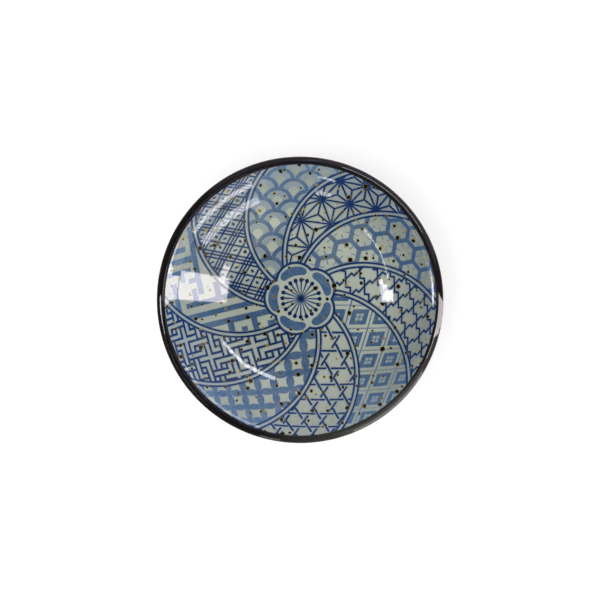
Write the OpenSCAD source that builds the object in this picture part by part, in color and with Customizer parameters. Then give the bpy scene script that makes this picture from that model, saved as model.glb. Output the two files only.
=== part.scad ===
// Small footed sauce dish: a shallow stoneware bowl with a dark rim, ten twisted printed fields
// and a five-petal blossom in the middle. Millimetres, +Z up, origin under the middle of the foot.

/* [Bowl] */
// Diameter across the lip
rim_diameter = 95; // [88:0.5:110]
// Height from the table to the top of the lip
overall_height = 27; // [25:0.5:32]
// Thickness of the rounded lip
lip_thickness = 2.6; // [2.2:0.1:3.4]
// Thickness at the middle of the base
base_thickness = 4.5; // [3.6:0.1:5.5]
// Height of the underside above the table, at the middle
base_clearance = 2.5; // [1.8:0.1:3.2]

/* [Foot] */
// Outside diameter of the foot ring where it meets the table
foot_diameter = 41; // [37:0.5:46]
// Width of the foot ring at the table
foot_width = 3.4; // [2.8:0.1:4.4]
// How much each side of the foot ring leans out towards the bowl
foot_lean = 0.5; // [0.1:0.1:0.8]
// Softened edge of the foot ring
foot_edge = 0.5; // [0.3:0.1:0.8]

/* [Glaze] */
// Thickness of the glaze
glaze_thickness = 0.3; // [0.2:0.05:0.5]
// Width of the dark rim band seen from above
band_width = 2.5; // [2.2:0.1:3.4]
// Drop of the dark rim band down the outside
band_drop = 3; // [2.6:0.1:4.5]
// Bare clay left between the foot ring and the glaze
bare_band = 0.8; // [0.5:0.1:1.5]

/* [Printed fields] */
// Thickness of the print
print_thickness = 0.12; // [0.08:0.01:0.2]
// Width of a dividing ribbon
ribbon_width = 1.75; // [1.3:0.05:2.2]
// Distance from the dish's axis to the centre of each ribbon's curve
ribbon_reach = 27.5; // [26.5:0.5:28.5]
// Direction of each ribbon's centre of curve in degrees, clockwise round the dish
ribbon_bearing = [71, 31, -3, -40, -75, -113, -149, -184, -221, -258]; // [-360:1:360]
// Radius of each hand-drawn ribbon's curve
ribbon_radius = [27, 29, 30, 29, 29, 29.5, 29.5, 30, 30, 29.5]; // [26.5:0.5:31]

/* [Blossom] */
// Distance from the axis to the centre of a petal's outline
petal_offset = 5.65; // [5.2:0.05:6.2]
// Radius of a petal's outline
petal_radius = 6.45; // [6.3:0.05:7]
// Distance from the axis to the centre of a petal's blue fill
fill_offset = 7; // [6.8:0.05:7.3]
// Radius of a petal's blue fill
fill_radius = 4.1; // [3.6:0.05:4.2]
// Radius of the pale round inside the blue fills
heart_radius = 7.5; // [7.2:0.05:8]
// Direction of the first petal
blossom_bearing = -37; // [-72:1:72]
// Distance from the axis to a stamen's tip
stamen_reach = 6.3; // [5.6:0.05:6.4]
// Diameter of a stamen's tip
stamen_tip = 1.25; // [0.8:0.05:1.4]
// Width of a stamen's stem
stamen_stem = 0.34; // [0.25:0.01:0.5]
// Number of stamens
stamen_count = 20; // [12:1:20]
// Diameter of the dark star in the middle
star_diameter = 2.5; // [1.6:0.1:3]

/* [Hidden] */
$fn = 96;
petal_count = 5;
drawn_field_radius = 45;
coat = glaze_thickness + print_thickness;
lip_half = lip_thickness / 2;
lip_radius = rim_diameter / 2 - lip_half;
lip_height = overall_height - lip_half;
hollow_bottom = base_clearance + base_thickness;
hollow_depth = lip_height - hollow_bottom;
hollow_radius = (lip_radius * lip_radius + hollow_depth * hollow_depth - lip_half * lip_half)
    / (2 * (hollow_depth + lip_half));
hollow_centre = hollow_bottom + hollow_radius;
outside_depth = lip_height - base_clearance;
outside_radius = (lip_radius * lip_radius + outside_depth * outside_depth - lip_half * lip_half)
    / (2 * (outside_depth - lip_half));
outside_centre = base_clearance + outside_radius;
field_radius = rim_diameter / 2 - band_width;
print_scale = field_radius / drawn_field_radius;
foot_outer = foot_diameter / 2;
foot_inner = foot_outer - foot_width;
foot_top = hollow_bottom + foot_width;
glaze_foot_radius = foot_outer + foot_lean + bare_band;
glaze_foot_height = outside_centre
    - sqrt(outside_radius * outside_radius - glaze_foot_radius * glaze_foot_radius);
base_glaze_radius = foot_inner - foot_lean - bare_band;
band_bottom = overall_height - band_drop;
ribbon_half = ribbon_width * print_scale / 2;
reach = rim_diameter;

// Where the lip's round meets the hollow and the outside, as distances from the axis and heights
function lip_inside(half) = [
    lip_radius - half * lip_radius / (hollow_radius + lip_half),
    lip_height + half * (hollow_centre - lip_height) / (hollow_radius + lip_half)];
function lip_outside(half) = [
    lip_radius + half * lip_radius / (outside_radius - lip_half),
    lip_height - half * (outside_centre - lip_height) / (outside_radius - lip_half)];

// The whole bowl without its foot, with every surface moved in by an inset
module bowl_form(inset) {
    half = lip_half - inset;
    top = lip_inside(half);
    side = lip_outside(half);
    slope = (side[0] - top[0]) / (top[1] - side[1]);
    union() {
        difference() {
            intersection() {
                translate([0, 0, outside_centre]) sphere(r = outside_radius - inset);
                cylinder(r1 = top[0] + slope * top[1], r2 = 0, h = top[1] + top[0] / slope);
            }
            translate([0, 0, hollow_centre]) sphere(r = hollow_radius + inset);
        }
        translate([0, 0, lip_height]) rotate_extrude() translate([lip_radius, 0]) circle(r = half);
    }
}

// A layer lining the hollow, between two depths below its surface
module lining(near, far) {
    difference() {
        intersection() {
            translate([0, 0, hollow_centre]) sphere(r = hollow_radius + far);
            cylinder(r = field_radius, h = hollow_centre);
        }
        translate([0, 0, hollow_centre]) sphere(r = hollow_radius + near);
    }
}

// The round that bounds one side of a ribbon, grown by half the ribbon's width or shrunk by it
module ribbon_round(i, grow) {
    rotate([0, 0, ribbon_bearing[i]])
        translate([ribbon_reach * print_scale, 0, 0])
            cylinder(r = ribbon_radius[i] * print_scale + grow, h = hollow_centre);
}

// The blossom's five-lobed outline
module blossom_outline() {
    for (k = [0 : petal_count - 1])
        rotate([0, 0, blossom_bearing - k * 360 / petal_count])
            translate([petal_offset * print_scale, 0, 0])
                cylinder(r = petal_radius * print_scale, h = hollow_centre);
}

// One kidney-shaped petal fill
module petal_fill(k) {
    difference() {
        rotate([0, 0, blossom_bearing - k * 360 / petal_count])
            translate([fill_offset * print_scale, 0, 0])
                cylinder(r = fill_radius * print_scale, h = hollow_centre);
        cylinder(r = heart_radius * print_scale, h = hollow_centre);
    }
}

// Star, stems and tips
module stamen_shape() {
    cylinder(d = star_diameter * print_scale, h = hollow_centre);
    for (k = [0 : stamen_count - 1])
        rotate([0, 0, blossom_bearing + k * 360 / stamen_count]) {
            translate([0, -stamen_stem * print_scale / 2, 0])
                cube([stamen_reach * print_scale, stamen_stem * print_scale, hollow_centre]);
            translate([stamen_reach * print_scale, 0, 0])
                cylinder(d = stamen_tip * print_scale, h = hollow_centre);
        }
}

// One printed field, from ribbon i clockwise to the next ribbon
module field(i) {
    difference() {
        intersection() {
            lining(0, print_thickness);
            ribbon_round(i, -ribbon_half);
        }
        ribbon_round((i + 1) % len(ribbon_bearing), ribbon_half);
        blossom_outline();
    }
}

// One dividing ribbon from the blossom to the rim band
module ribbon(i) {
    difference() {
        intersection() {
            lining(0, print_thickness);
            ribbon_round(i, ribbon_half);
            rotate([0, 0, ribbon_bearing[i]]) translate([-reach, 0, 0]) cube([2 * reach, reach, hollow_centre]);
        }
        ribbon_round(i, -ribbon_half);
        blossom_outline();
    }
}

module clay_body() {
    color("tan") bowl_form(coat);
}

module foot_ring() {
    color("tan") difference() {
        rotate_extrude() polygon([
            [foot_inner + foot_edge, 0],
            [foot_outer - foot_edge, 0],
            [foot_outer, foot_edge],
            [foot_outer + foot_lean, foot_top],
            [foot_inner - foot_lean, foot_top],
            [foot_inner, foot_edge]]);
        translate([0, 0, outside_centre]) sphere(r = outside_radius - coat);
    }
}

module inner_glaze() {
    color("gainsboro") lining(print_thickness, coat);
}

module outer_glaze() {
    color("saddlebrown") difference() {
        intersection() {
            translate([0, 0, outside_centre]) sphere(r = outside_radius);
            translate([0, 0, glaze_foot_height]) cylinder(r = reach, h = band_bottom - glaze_foot_height);
        }
        translate([0, 0, outside_centre]) sphere(r = outside_radius - coat);
    }
}

module base_glaze() {
    color("saddlebrown") difference() {
        intersection() {
            translate([0, 0, outside_centre]) sphere(r = outside_radius);
            cylinder(r = base_glaze_radius, h = outside_centre);
        }
        translate([0, 0, outside_centre]) sphere(r = outside_radius - coat);
    }
}

module rim_glaze() {
    color("black") difference() {
        intersection() {
            bowl_form(0);
            translate([0, 0, band_bottom]) cylinder(r = reach, h = overall_height);
        }
        cylinder(r = field_radius, h = 2 * overall_height);
        bowl_form(coat);
    }
}

module wave_field() { color("lightsteelblue") field(0); }

module hemp_leaf_field() { color("navy") field(1); }

module hexagon_field() { color("lightsteelblue") field(2); }

module pine_bark_field() { color("navy") field(3); }

module lozenge_field() { color("lightsteelblue") field(4); }

module basket_field() { color("navy") field(5); }

module circle_field() { color("lightsteelblue") field(6); }

module fret_field() { color("navy") field(7); }

module key_field() { color("lightsteelblue") field(8); }

module check_field() { color("navy") field(9); }

module ribbon_piece(i) { color("midnightblue") ribbon(i); }

module blossom_ground() {
    color("gainsboro") difference() {
        intersection() {
            lining(0, print_thickness);
            blossom_outline();
        }
        for (k = [0 : petal_count - 1]) petal_fill(k);
        stamen_shape();
    }
}

module petal(k) {
    color("steelblue") intersection() {
        lining(0, print_thickness);
        petal_fill(k);
    }
}

module stamens() {
    color("midnightblue") intersection() {
        lining(0, print_thickness);
        stamen_shape();
    }
}

clay_body();
foot_ring();
inner_glaze();
outer_glaze();
base_glaze();
rim_glaze();
wave_field();
hemp_leaf_field();
hexagon_field();
pine_bark_field();
lozenge_field();
basket_field();
circle_field();
fret_field();
key_field();
check_field();
ribbon_piece(0);  // ribbon_1
ribbon_piece(1);  // ribbon_2
ribbon_piece(2);  // ribbon_3
ribbon_piece(3);  // ribbon_4
ribbon_piece(4);  // ribbon_5
ribbon_piece(5);  // ribbon_6
ribbon_piece(6);  // ribbon_7
ribbon_piece(7);  // ribbon_8
ribbon_piece(8);  // ribbon_9
ribbon_piece(9);  // ribbon_10
blossom_ground();
petal(0);  // petal_1
petal(1);  // petal_2
petal(2);  // petal_3
petal(3);  // petal_4
petal(4);  // petal_5
stamens();
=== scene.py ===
"""Looks of a small footed sauce dish: glazes, ten printed fields, ribbons and a blossom, on a stage."""
import math
from functools import partial, reduce
from types import SimpleNamespace

import bpy
import numpy as np
from bpy.props import FloatProperty, FloatVectorProperty, IntProperty, PointerProperty
from mathutils import Matrix, Vector


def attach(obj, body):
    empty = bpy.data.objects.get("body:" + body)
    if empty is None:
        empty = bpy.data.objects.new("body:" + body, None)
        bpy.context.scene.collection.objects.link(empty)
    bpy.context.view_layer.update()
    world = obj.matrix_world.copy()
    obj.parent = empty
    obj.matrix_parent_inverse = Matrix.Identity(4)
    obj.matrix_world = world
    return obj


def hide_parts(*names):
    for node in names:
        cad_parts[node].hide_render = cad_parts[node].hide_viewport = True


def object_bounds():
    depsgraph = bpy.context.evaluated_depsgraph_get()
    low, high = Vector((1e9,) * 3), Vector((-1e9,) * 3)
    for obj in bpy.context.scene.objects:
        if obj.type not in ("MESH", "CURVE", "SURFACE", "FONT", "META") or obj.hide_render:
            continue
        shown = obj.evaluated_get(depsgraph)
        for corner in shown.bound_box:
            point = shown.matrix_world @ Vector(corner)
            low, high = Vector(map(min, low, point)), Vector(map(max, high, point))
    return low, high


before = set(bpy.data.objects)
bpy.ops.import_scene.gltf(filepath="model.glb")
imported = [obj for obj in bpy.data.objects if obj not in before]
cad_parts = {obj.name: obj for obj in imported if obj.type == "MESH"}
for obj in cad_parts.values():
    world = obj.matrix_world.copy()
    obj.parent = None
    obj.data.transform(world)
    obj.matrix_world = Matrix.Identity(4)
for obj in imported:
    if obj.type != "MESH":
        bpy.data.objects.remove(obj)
CAD_LOW, CAD_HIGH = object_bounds()

bl_info = {
    "name": "Sauce dish",
    "version": (1, 0, 0),
    "blender": (4, 5, 0),
    "location": "View3D > Sidebar > Dish",
    "description": "Models a footed sauce dish with ten printed fields, and its stage",
    "category": "Add Mesh",
}

MM = 0.001
FULL_TURN = 2 * math.pi
QUARTER_TURN = math.pi / 2
MAP_NAME = "OFBake"
SURFACE_IOR = 1.5

# Grids that the printed films start from, as columns and rows, and the steps of a turned piece
FIELD_GRID, RIBBON_GRID, BLOSSOM_GRID = (72, 120), (8, 120), (110, 110)
PETAL_GRID, STAR_GRID, STAMEN_GRID = (60, 24), (24, 24), (4, 60)
ROUND_STEPS = 240
SMOOTH_LIMIT = math.radians(40)

# Print, in millimetres: the round it is laid out for, where the rim begins to tell, and its lines
PRINT_RADIUS = 45
NEAR_RIM = (30, 42)
LINE_OVERLAP = 0.14
RIBBON_LINE = 0.49
OUTLINE_SHIFT, OUTLINE_HALF = 0.08, 0.38
# Blue that bleeds from a drawn line: its width and blur in millimetres, and its share of a full wash
BLEED_WIDTH, BLEED_BLUR, BLEED_SHARE = 0.22, 0.26, 0.42

# Lean of the glaze beside the lip: start, width of its bend and end in millimetres, slope and its gain
FLARE_START, FLARE_TURN, FLARE_END = 43.2, 0.35, 45.4
FLARE_SLOPE, FLARE_GAIN = 0.27, 0.1

# Iron specks, in millimetres: spacing, shift of the layout, least radius, growth and loss of the core
SPECKS = (
    (5.5, 0.0, 0.31, 0.48, 0.12),
    (6.6, 31.0, 0.2, 0.22, 0.6),
)

# Lines of the fret, in its own steps: place, start and end
FRET_UPRIGHTS = ((0.5, 0.5, 4.5), (1.5, 1.5, 4.5), (2.5, -0.5, 2.5), (3.5, -0.5, 3.5))
FRET_LEVELS = ((0.5, 0.5, 2.5), (1.5, 1.5, 2.5), (2.5, 1.5, 2.5), (3.5, -0.5, 0.5), (2.5, -0.5, 0.5))

# Bars of the key pattern, in its own steps: left, right, low and high edge
KEY_BARS = (
    (-1.9, -0.9, -0.2, 12),
    (-8, -2.8, 7.8, 8.8),
    (-8, -1.9, 5.8, 6.9),
    (-8, -2.5, 4, 4.8),
    (-4.8, -3.9, 2.5, 4.8),
    (-6.7, -5.7, -4, 2.8),
    (-3.3, -0.9, 2, 2.9),
    (-3.1, -2.1, -1.6, 1),
    (-4.7, 8, -2.1, -1.2),
    (1, 2.1, -1.6, 1.2),
    (-8, 12, -4.1, -3.2),
    (-8, 12, -6.1, -5.1),
    (1.9, 3, -9, -5.5),
    (6, 7, -9, -5.5),
    (4.1, 5.1, -7.9, -7.1),
    (8.5, 11, -7.9, -7),
)

# Unevenness made by hand: waves in a turn, shift, and height in metres or as a share of the star's radius
GLAZE_LINE_WAVES = ((3, 0.3, 0.2 * MM), (7, 1.2, 0.12 * MM), (16, 2.0, 0.06 * MM))
RIM_EDGE_WAVES = ((1, -1.4, 0.15 * MM), (4, -0.9, 0.07 * MM), (11, 0.5, 0.03 * MM), (23, 1.7, 0.02 * MM))
STAR_WAVES = ((5, 0.4, 0.2), (8, 1.1, 0.08))

# Camera and lamps: the camera's sensor in millimetres, its range and the lamps' distance in metres
SENSOR_WIDTH = 36
CAMERA_RANGE = 100
LAMP_DISTANCE = 1.2
WHITE, ROSY, COOL, WARM = (0.97, 0.97, 1), (1, 0.93, 0.97), (0.88, 0.9, 1.15), (1, 0.97, 0.85)
# Lamps that only the gloss shows: turn and rise of both ends and height in degrees, radiance and tint
LAMPS = (
    ("window_high", (-16.5, 28), (-0.5, 28), 35, 11.5, ROSY),
    ("window_low", (-12.5, 5), (-1.5, 5), 10, 10.5, ROSY),
    ("window_spur", (-27, 40.5), (-14, 40.5), 4.5, 9.0, ROSY),
    ("window_far", (-172.5, 35), (-180, 35), 8.4, 16.0, WHITE),
    ("window_far_step", (-168.5, 36.6), (-172.5, 36.6), 5.2, 16.0, WHITE),
    ("window_far_tip", (-164.5, 38), (-168.5, 38), 2.6, 16.0, WHITE),
    ("tube_near", (73, 39.8), (50, 38.2), 2.2, 13.0, WHITE),
    ("tube_end", (50, 38.2), (28, 36.4), 2.0, 13.0, WHITE),
    ("tube_far", (-131, 28.8), (-149, 30.7), 0.5, 14.0, WHITE),
    ("tube_far_end", (-149, 30.7), (-170, 32.6), 0.5, 14.0, WHITE),
    ("slit_low", (-69, 7), (-34, 7), 3.4, 7.5, WHITE),
    ("slit_high", (-69, 20), (-32, 18), 5.4, 7.5, WHITE),
    ("slit_low_end", (-107, 7), (-99, 7), 1.8, 6.5, WHITE),
    ("slit_high_end", (-107, 19), (-99, 19), 3.0, 6.5, WHITE),
    ("panel_right_high", (-75, 33), (-15, 33), 22, 0.9, WARM),
    ("panel_right", (-75, 16), (-15, 16), 12, 0.45, WARM),
    ("panel_right_low", (-75, 5), (-15, 5), 10, 1.5, WARM),
    ("panel_back", (16, 22), (86, 22), 44, 0.5, COOL),
    ("panel_left", (86, 22), (130, 22), 44, 0.3, COOL),
)
# Lamps that the gloss doesn't show: turn and rise in degrees, width as a share of the distance, radiance
FILLS = (
    ("fill_top", 215, 73, 0.9, 4.25),
    ("fill_back", 62, 5.5, 0.35, 38.0),
    ("fill_right", -42, 6, 0.36, 28.0),
)


def number(label, description, default):
    """A plain number that a user may change."""
    return FloatProperty(name=label, description=description, default=default)


def numbers(label, description, *default):
    """A row of numbers that a user may change."""
    return FloatVectorProperty(name=label, description=description, size=len(default), default=default)


def length(label, description, default):
    """A size in metres that a user may change."""
    return FloatProperty(name=label, description=description, default=default, unit="LENGTH", precision=5)


def angle(label, description, degrees):
    """An angle that a user may change."""
    default = math.radians(degrees)
    return FloatProperty(name=label, description=description, default=default, subtype="ANGLE")


def colour(label, description, *default):
    """A colour that a user may change."""
    return FloatVectorProperty(
        name=label, description=description, default=default, size=3, subtype="COLOR", min=0, max=1
    )


def layout(label, *default):
    """Where a printed pattern lies and how it repeats, in millimetres and degrees as seen from above."""
    description = "Centre x and y, repeat across, its turn, repeat up, its turn, growth towards the rim"
    return numbers(label, description, *default)


class DishForm(bpy.types.PropertyGroup):
    """Sizes of the dish: its solids' own, and finer ones for glaze edges, the crest and the blossom."""

    rim_diameter: length("Rim", "Diameter across the lip", 2 * min(CAD_HIGH.x, -CAD_LOW.x))
    overall_height: length("Height", "Height from the table to the lip", CAD_HIGH.z - CAD_LOW.z)
    lip_thickness: length("Lip", "Thickness of the rounded lip", 2.6 * MM)
    base_thickness: length("Base", "Thickness at the middle of the base", 4.5 * MM)
    base_clearance: length("Clearance", "Height of the underside above the table", 2.5 * MM)
    foot_diameter: length("Foot", "Outside diameter of the foot ring", 41 * MM)
    foot_width: length("Foot width", "Width of the foot ring at the table", 3.4 * MM)
    foot_lean: length("Foot lean", "Lean of each side of the foot ring", 0.5 * MM)
    foot_edge: length("Foot edge", "Softened edge of the foot ring", 0.5 * MM)
    glaze_thickness: length("Glaze", "Thickness of the glaze", 0.3 * MM)
    print_thickness: length("Print", "Thickness of the print", 0.12 * MM)
    band_width: length("Band", "Width of the rim band seen from above", 2.5 * MM)
    band_drop: length("Band drop", "Drop of the rim band down the outside", 3 * MM)
    bare_band: length("Bare band", "Bare clay between foot ring and glaze", 0.8 * MM)
    glaze_run: length("Glaze run", "How far up the outer glaze its uneven lower line tells", 3 * MM)
    glaze_rise: length("Glaze rise", "Mean distance of that line from the bare band", 0.4 * MM)
    edge_start: length("Edge start", "Width of the rim band before its inner edge turns up", 0.3 * MM)
    edge_tuck: length("Edge tuck", "Rise of the band's inner edge over the print, and its dip", 0.03 * MM)
    edge_creep: length("Edge creep", "Mean creep of the rim band over the print", 0.15 * MM)
    crest_inset: length("Crest inset", "Distance from the rim's outer side to the band's crest", 2.0 * MM)
    crest_gap: length("Crest gap", "Height of the lip that the crest of its band leaves free", 0.03 * MM)
    crest_round: length("Crest round", "Rounding of the crest on its outer side", 0.85 * MM)
    slope_start: angle("Slope start", "Slope where the crest's rounding ends", 20)
    slope_end: angle("Slope end", "Slope where the outer corner starts", 43)
    corner_round: length("Corner round", "Rounding of the lip's outer corner", 0.4 * MM)
    ribbon_width: length("Ribbon", "Width of a dividing ribbon", 1.75 * MM)
    ribbon_reach: length("Ribbon reach", "Distance from the axis to a ribbon's centre", 27.5 * MM)
    ribbon_bearing: numbers(
        "Ribbon bearings",
        "Direction of each ribbon's centre in degrees, clockwise round the dish",
        *(71, 31, -3, -40, -75, -113, -149, -184, -221, -258),
    )
    ribbon_radius: numbers(
        "Ribbon radii",
        "Radius of each ribbon's curve in millimetres",
        *(27, 29, 30, 29, 29, 29.5, 29.5, 30, 30, 29.5),
    )
    petal_count: IntProperty(name="Petals", description="Number of petals", default=5)
    petal_offset: length("Petal offset", "Distance from the axis to a petal's centre", 5.65 * MM)
    petal_radius: length("Petal radius", "Radius of a petal's outline", 6.45 * MM)
    fill_offset: length("Fill offset", "Distance from the axis to a petal fill's centre", 4.2 * MM)
    fill_radius: length("Fill radius", "Radius of a petal's blue fill", 6.7 * MM)
    fill_turn: angle("Fill turn", "Half of a petal fill's turn about the axis", 29.5)
    heart_radius: length("Heart", "Radius of the pale round inside the fills", 7.8 * MM)
    blossom_bearing: angle("Blossom turn", "Direction of the first petal", -37)
    stamen_count: IntProperty(name="Stamens", description="Number of stamens", default=20)
    stamen_reach: length("Stamen reach", "Distance from the axis to a stamen's tip", 6.2 * MM)
    stamen_tip: length("Stamen tip", "Diameter of a stamen's tip", 1.35 * MM)
    stamen_stem: length("Stamen stem", "Width of a stamen's stem", 0.72 * MM)
    star_diameter: length("Star", "Diameter of the dark star in the middle", 2.4 * MM)


class DishPatterns(bpy.types.PropertyGroup):
    """Layouts of the ten printed patterns."""

    wave: layout("Waves", 2.7, 34.1, 11.0, -6, 4.4, 85, 0.13)
    hemp_leaf: layout("Hemp leaf", 21.4, 25.3, 10.7, -7, 10.9, -74.5, 0.21)
    hexagon: layout("Hexagons", 30.3, 19.9, 8.45, -14.5, 8.7, 43.5, 0.165)
    pine_bark: layout("Pine bark", 37.3, -5.9, 6.15, 32.5, 5.85, -74, 0.19)
    lozenge: layout("Lozenges", 35.7, -14.5, 8.8, -0.5, 8.35, 74.5, 0.21)
    basket: layout("Basket", 10.1, -31.5, 7.3, -2.5, 7.4, 61.5, 0.245)
    circle: layout("Circles", -12.2, -38, 6.2, 8.5, 6.6, -83.5, 0.25)
    fret: layout("Fret", -34.4, -22.2, 2.34, 17.5, 2.28, 104.2, 0.245)
    key: layout("Key", -32.2, 2.9, 2.1, 13, 2.1, 103.5, 0.12)
    check: layout("Check", -22.6, 23.5, 9.4, -13.7, 9.6, 62, 0.14)


class DishColours(bpy.types.PropertyGroup):
    """Colours of clay, glazes and inks."""

    ground: colour("Ground", "Pale glaze", 0.455, 0.493, 0.4)
    ground_deep: colour("Deep ground", "Pale glaze where it lies thick", 0.408, 0.449, 0.371)
    # Pale glaze drawn darker from 26 to 42 mm out, towards the rim.
    ground_rimward: colour("Thin ground", "Pale glaze where it thins towards the rim", 0.25, 0.278, 0.245)
    wash: colour("Wash", "Pale blue ink", 0.052, 0.11, 0.212)
    wash_thin: colour("Thin wash", "Pale blue ink where it runs thin", 0.205, 0.27, 0.315)
    ink: colour("Ink", "Dark blue ink", 0.0042, 0.025, 0.104)
    speck: colour("Speck", "Iron speck", 0.005, 0.004, 0.002)
    rust: colour("Rust", "Stain round an iron speck", 0.35, 0.265, 0.02)
    rim: colour("Rim", "Dark rim glaze", 0.005, 0.0045, 0.0055)
    rim_thin: colour("Thin rim", "Rim glaze where it runs thin", 0.1, 0.055, 0.034)
    outside: colour("Outside", "Dark glaze of the outside", 0.022, 0.014, 0.009)
    outside_rust: colour("Outside rust", "Dark glaze where it breaks to rust", 0.1, 0.045, 0.018)
    clay: colour("Clay", "Bare fired clay", 0.36, 0.25, 0.165)
    clay_dark: colour("Dark clay", "Bare clay where the kiln flashed it", 0.22, 0.125, 0.07)


class DishStage(bpy.types.PropertyGroup):
    """Camera, floor and light."""

    view_width: length("View", "Width of the view at the lip", 198.6 * MM)
    view_distance: length("Distance", "Distance from the lip to the camera", 3.0)
    lean_x: number("Lean x", "Camera's lean towards +X, as a slope", 0.0166)
    lean_y: number("Lean y", "Camera's lean towards +Y, as a slope", 0.025)
    floor_size: length("Floor", "Width of the white floor", 6.0)
    floor_tone: number("Floor tone", "Share of light that the floor scatters", 0.42)
    floor_glow: number("Floor glow", "White that the floor adds to the view and to mirrors", 0.68)
    world_low: number("Overhead", "Light of the room overhead", 0.05)
    world_side: number("Sides", "Light that the room's sides add", 0.17)


def derive(form):
    """Sizes that follow from the driving ones, as the solids work them out."""
    lip_half = form.lip_thickness / 2
    lip_radius = form.rim_diameter / 2 - lip_half
    lip_height = form.overall_height - lip_half
    hollow_bottom = form.base_clearance + form.base_thickness
    depth = lip_height - hollow_bottom
    rise = lip_height - form.base_clearance
    hollow_radius = (lip_radius**2 + depth**2 - lip_half**2) / (2 * (depth + lip_half))
    outside_radius = (lip_radius**2 + rise**2 - lip_half**2) / (2 * (rise - lip_half))
    outside_centre = form.base_clearance + outside_radius
    band_depth = outside_centre - (form.overall_height - form.band_drop)
    return SimpleNamespace(
        lip_half=lip_half,
        lip_radius=lip_radius,
        lip_height=lip_height,
        hollow_radius=hollow_radius,
        hollow_centre=hollow_bottom + hollow_radius,
        outside_radius=outside_radius,
        outside_centre=outside_centre,
        field_radius=form.rim_diameter / 2 - form.band_width,
        band_reach=math.sqrt(outside_radius**2 - band_depth**2),
        coat=form.glaze_thickness + form.print_thickness,
        foot_outer=form.foot_diameter / 2,
        foot_inner=form.foot_diameter / 2 - form.foot_width,
    )


def hollow_height(shape, reach, inset=0):
    """Height of the hollow's surface at a distance from the axis."""
    return shape.hollow_centre - np.sqrt((shape.hollow_radius + inset) ** 2 - reach**2)


def outside_height(shape, reach, inset=0):
    """Height of the outside's surface at a distance from the axis."""
    return shape.outside_centre - np.sqrt((shape.outside_radius - inset) ** 2 - reach**2)


def petal_bearing(form, index):
    """Direction of a petal, clockwise from the first."""
    return form.blossom_bearing - index * FULL_TURN / form.petal_count


def math_step(operation):
    """A method that adds one Math node."""

    def method(self, *others):
        return self.step(operation, *others)

    return method


class Sum:
    """A number in a material's nodes that takes part in ordinary Python sums."""

    def __init__(self, recipe, socket):
        self.recipe = recipe
        self.socket = socket

    def step(self, operation, *others):
        """The result of one Math node on this number and others."""
        values = dict(enumerate((self, *others)))
        return self.recipe.node("ShaderNodeMath", {"operation": operation}, values)

    def __rsub__(self, other):
        return self.recipe.node("ShaderNodeMath", {"operation": "SUBTRACT"}, {0: other, 1: self})

    __add__ = __radd__ = math_step("ADD")
    __sub__ = math_step("SUBTRACT")
    __mul__ = __rmul__ = math_step("MULTIPLY")
    __truediv__ = math_step("DIVIDE")
    __abs__ = math_step("ABSOLUTE")
    least = math_step("MINIMUM")
    most = math_step("MAXIMUM")
    under = math_step("LESS_THAN")
    over = math_step("GREATER_THAN")
    root = math_step("SQRT")
    sine = math_step("SINE")
    floor = math_step("FLOOR")
    ceiling = math_step("CEIL")
    nearest = math_step("ROUND")
    remainder = math_step("FLOORED_MODULO")

    def clamp(self):
        return self.most(0.0).least(1.0)

    def fraction(self):
        """Signed distance to the nearest whole number."""
        return self - self.nearest()


class Nodes:
    """A node tree that is filled from Python sums."""

    def __init__(self, tree):
        self.tree = tree
        tree.nodes.clear()

    def node(self, kind, settings=None, values=None, out=0):
        """Adds a node, sets it, feeds its sockets with values or links, and returns one output."""
        made = self.tree.nodes.new(kind)
        for key, value in (settings or {}).items():
            setattr(made, key, value)
        for key, value in (values or {}).items():
            if isinstance(value, Sum):
                self.tree.links.new(value.socket, made.inputs[key])
            else:
                made.inputs[key].default_value = value
        return Sum(self, made.outputs[out]) if len(made.outputs) else None


class Recipe(Nodes):
    """One material and its nodes, with the place on the dish in millimetres."""

    def __init__(self, name, colours=None):
        self.colours = colours
        self.material = bpy.data.materials.new(name)
        self.material.use_nodes = True
        super().__init__(self.material.node_tree)
        place = self.node("ShaderNodeTexCoord", out="Object")
        self.place = self.node("ShaderNodeVectorMath", {"operation": "SCALE"}, {0: place, "Scale": 1 / MM})
        self.x, self.y, self.z = (
            self.node("ShaderNodeSeparateXYZ", {}, {0: self.place}, axis) for axis in "XYZ"
        )
        self.reach = hypot(self.x, self.y)

    def mix(self, share, low, high):
        """A colour between two, by a share from 0 to 1."""
        low, high = (c if isinstance(c, Sum) else (*c, 1) for c in (low, high))
        return self.node("ShaderNodeMix", {"data_type": "RGBA"}, {0: share, 6: low, 7: high}, 2)

    def noise(self, size, detail, roughness=0.5, where=None):
        """Soft noise whose features are about so many millimetres across."""
        values = {"Vector": where or self.place, "Scale": 1 / size}
        return self.node("ShaderNodeTexNoise", {}, {**values, "Detail": detail, "Roughness": roughness})

    def patches(self, size, detail, low, high):
        """Noise stretched to patches of 0 and 1 with soft borders."""
        return spread(self.noise(size, detail), low, high)

    def finish(self, base, roughness, bumps):
        """Joins colour, roughness and bumps, each a height, a strength and a distance, to the surface."""
        values = {"Base Color": base, "Roughness": roughness, "IOR": SURFACE_IOR}
        for height, strength, distance in bumps:
            bump = {"Height": height, "Strength": strength, "Distance": distance}
            if "Normal" in values:
                bump["Normal"] = values["Normal"]
            values["Normal"] = self.node("ShaderNodeBump", {}, bump)
        shader = self.node("ShaderNodeBsdfPrincipled", {"distribution": "GGX"}, values)
        self.node("ShaderNodeOutputMaterial", {}, {"Surface": shader})
        return self.material


def hypot(a, b):
    """Length of a step of a by b."""
    return (a * a + b * b).root()


def spread(value, low, high):
    """Stretches part of a value's range over 0 to 1."""
    return ((value - low) / (high - low)).clamp()


def soft(distance, half, blur=0.07):
    """1 within half of a line's middle and 0 outside, with a soft edge, in millimetres."""
    return (0.5 - (distance - half) / (2 * blur)).clamp()


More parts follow.
